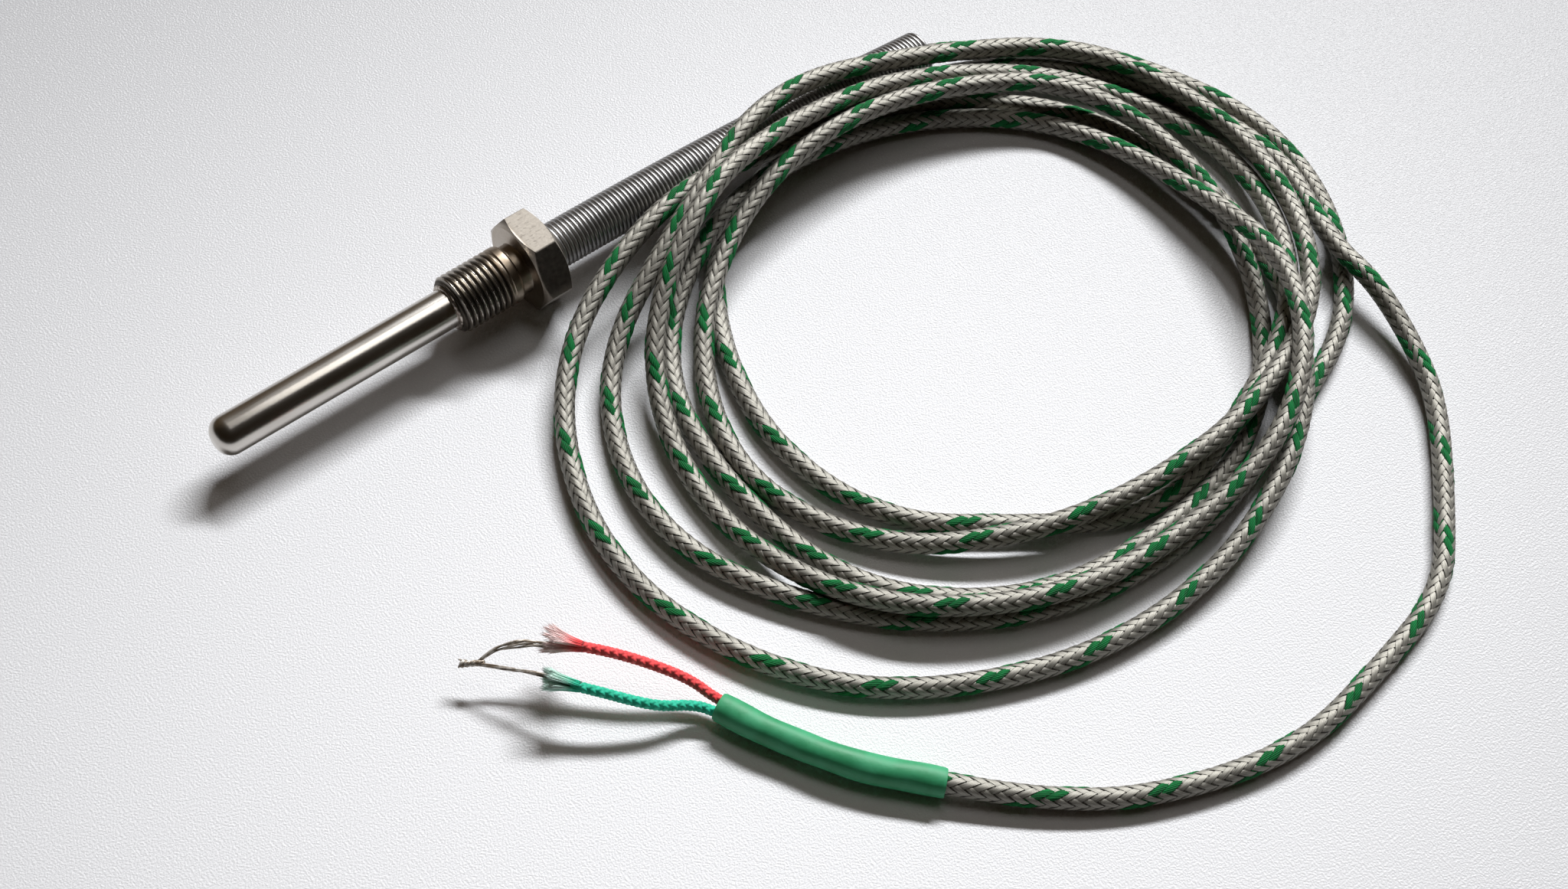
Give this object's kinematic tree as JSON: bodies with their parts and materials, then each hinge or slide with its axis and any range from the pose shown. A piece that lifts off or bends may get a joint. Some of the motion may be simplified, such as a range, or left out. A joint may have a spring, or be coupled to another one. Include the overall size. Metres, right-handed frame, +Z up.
{
  "type": "thermocouple probe",
  "caption": "Screw-in temperature probe: round-ended steel sheath in a threaded hexagon fitting, strain relief spring, and a coiled braided cable ending in stripped leads.",
  "frame": {"origin": "on the floor under the middle of the rigid probe, cable left out", "axes": "+X along the sheath from its closed tip towards the cable, +Z up from the flat of the hexagon that it lies on"},
  "size_m": [0.2199, 0.1786, 0.018],
  "materials": {
    "sheath_steel": "bright drawn stainless steel tube, polished",
    "fitting_steel": "turned stainless steel with straw and brown heat tint by the weld",
    "weld_metal": "small bright weld bead",
    "spring_wire": "close-wound stainless steel spring wire, satin",
    "thermocouple_wire": "bare nickel alloy wire",
    "seal_cement": "dull white cement",
    "ferrule_metal": "plain crimped tube",
    "bead_ceramic": "unglazed white ceramic",
    "braided_cable": "braid of fine steel wire bundles with a green fibre tracer",
    "green_sleeve": "smooth heat-shrunk sleeve, satin",
    "red_fibre": "braided glass fibre, matt",
    "green_fibre": "braided glass fibre, matt",
    "bare_strands": "fine bare alloy strands"
  },
  "bodies": {
    "root": {"sheath_tube": "sheath_steel", "threaded_fitting": "fitting_steel", "weld_bead": "weld_metal", "strain_relief_spring": "spring_wire", "measuring_junction": "thermocouple_wire", "positive_wire": "thermocouple_wire", "negative_wire": "thermocouple_wire", "end_seal": "seal_cement", "cable_ferrule": "ferrule_metal", "cable_lead_out": "braided_cable", "cable_coil": "braided_cable", "cable_tail": "braided_cable", "shrink_sleeve": "green_sleeve", "red_lead": "red_fibre", "green_lead": "green_fibre", "red_bare_strands": "bare_strands", "green_bare_strands": "bare_strands", "twisted_end": "bare_strands", "ceramic_bead_1": "bead_ceramic", "ceramic_bead_2": "bead_ceramic", "ceramic_bead_3": "bead_ceramic", "ceramic_bead_4": "bead_ceramic", "ceramic_bead_5": "bead_ceramic", "ceramic_bead_6": "bead_ceramic"}
  },
  "joints": []
}
